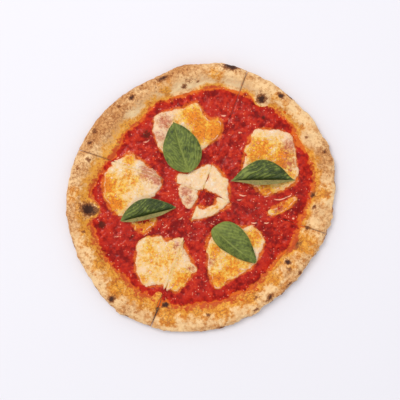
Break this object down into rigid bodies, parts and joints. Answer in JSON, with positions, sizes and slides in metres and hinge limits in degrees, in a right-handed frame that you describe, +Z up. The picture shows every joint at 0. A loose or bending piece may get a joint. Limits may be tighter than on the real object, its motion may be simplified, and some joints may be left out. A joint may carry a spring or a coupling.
{
  "type": "margherita pizza",
  "caption": "Round baked pizza with a puffed browned rim, cut into quarters that lie together, topped with tomato sauce, melted mozzarella and basil leaves.",
  "frame": {"origin": "middle of the pizza's box on the plane of its flat underside", "axes": "+Z up out of the topping; with the pizza seen from above and +Y away from the viewer, +X points right, the long cut to +Y leans towards +X, and basil_nw lies in the quarter at the upper left"},
  "size_m": [0.3006, 0.2998, 0.0184],
  "materials": {
    "crust": "dry baked dough, golden with brown and black oven spots",
    "sauce": "wet tomato sauce with fine pulp and small highlights",
    "mozzarella": "melted cheese, cream to orange, slightly oily",
    "basil": "fresh leaf with a soft sheen and paler veins"
  },
  "bodies": {
    "root": {"crust_ne": "crust", "crust_nw": "crust", "crust_sw": "crust", "crust_se": "crust", "sauce_ne": "sauce", "sauce_nw": "sauce", "sauce_sw": "sauce", "sauce_se": "sauce", "mozzarella_nw": "mozzarella", "mozzarella_left_nw": "mozzarella", "mozzarella_left_sw": "mozzarella", "mozzarella_middle_ne": "mozzarella", "mozzarella_middle_nw": "mozzarella", "mozzarella_middle_sw": "mozzarella", "mozzarella_middle_se": "mozzarella", "mozzarella_ne": "mozzarella", "mozzarella_bottom_sw": "mozzarella", "mozzarella_bottom_se": "mozzarella", "mozzarella_se": "mozzarella", "mozzarella_smear_ne": "mozzarella", "mozzarella_smear_sw": "mozzarella", "basil_nw": "basil", "basil_ne": "basil", "basil_sw": "basil", "basil_se": "basil"}
  },
  "joints": []
}
